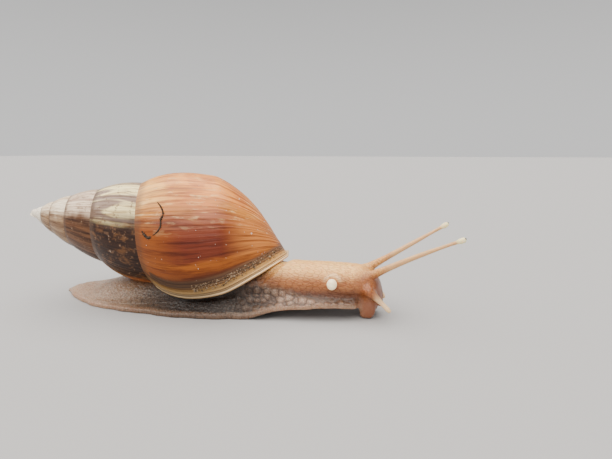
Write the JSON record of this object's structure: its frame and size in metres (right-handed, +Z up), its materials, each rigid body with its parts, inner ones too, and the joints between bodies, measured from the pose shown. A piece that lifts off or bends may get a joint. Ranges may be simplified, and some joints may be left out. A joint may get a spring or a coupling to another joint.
{
  "type": "giant African land snail",
  "caption": "Life-size still model of a crawling land snail with a tall spiral shell, an arched front foot, a stretched neck and its feelers out.",
  "frame": {"origin": "a point on the flat sole under the middle of the foot, at the middle of the foot's length under the shell", "axes": "+X from the tail toward the head, +Y to the animal's left, +Z up"},
  "size_m": [0.1171, 0.0342, 0.0367],
  "materials": {
    "shell": "glossy chestnut and amber shell with dark axial streaks, pale toward the apex",
    "skin": "moist beige to orange-brown skin with net-like grooves and warts",
    "mantle": "moist smooth cream-grey flesh",
    "eye": "moist translucent yellowish cream with a small dark eye",
    "white_knob": "moist smooth cream white"
  },
  "bodies": {
    "root": {"shell": "shell", "mantle_collar": "mantle", "tail": "skin", "foot_middle": "skin", "foot_front": "skin", "neck": "skin", "head": "skin", "upper_lip": "skin", "mouth": "skin", "oral_lappet_right": "skin", "oral_lappet_left": "skin", "lower_feeler_right": "skin", "lower_feeler_left": "skin", "feeler_root_right": "skin", "feeler_shaft_right": "skin", "feeler_tip_right": "skin", "feeler_root_left": "skin", "feeler_shaft_left": "skin", "feeler_tip_left": "skin", "eye_knob_right": "eye", "eye_knob_left": "eye", "genital_knob": "white_knob"}
  },
  "joints": []
}
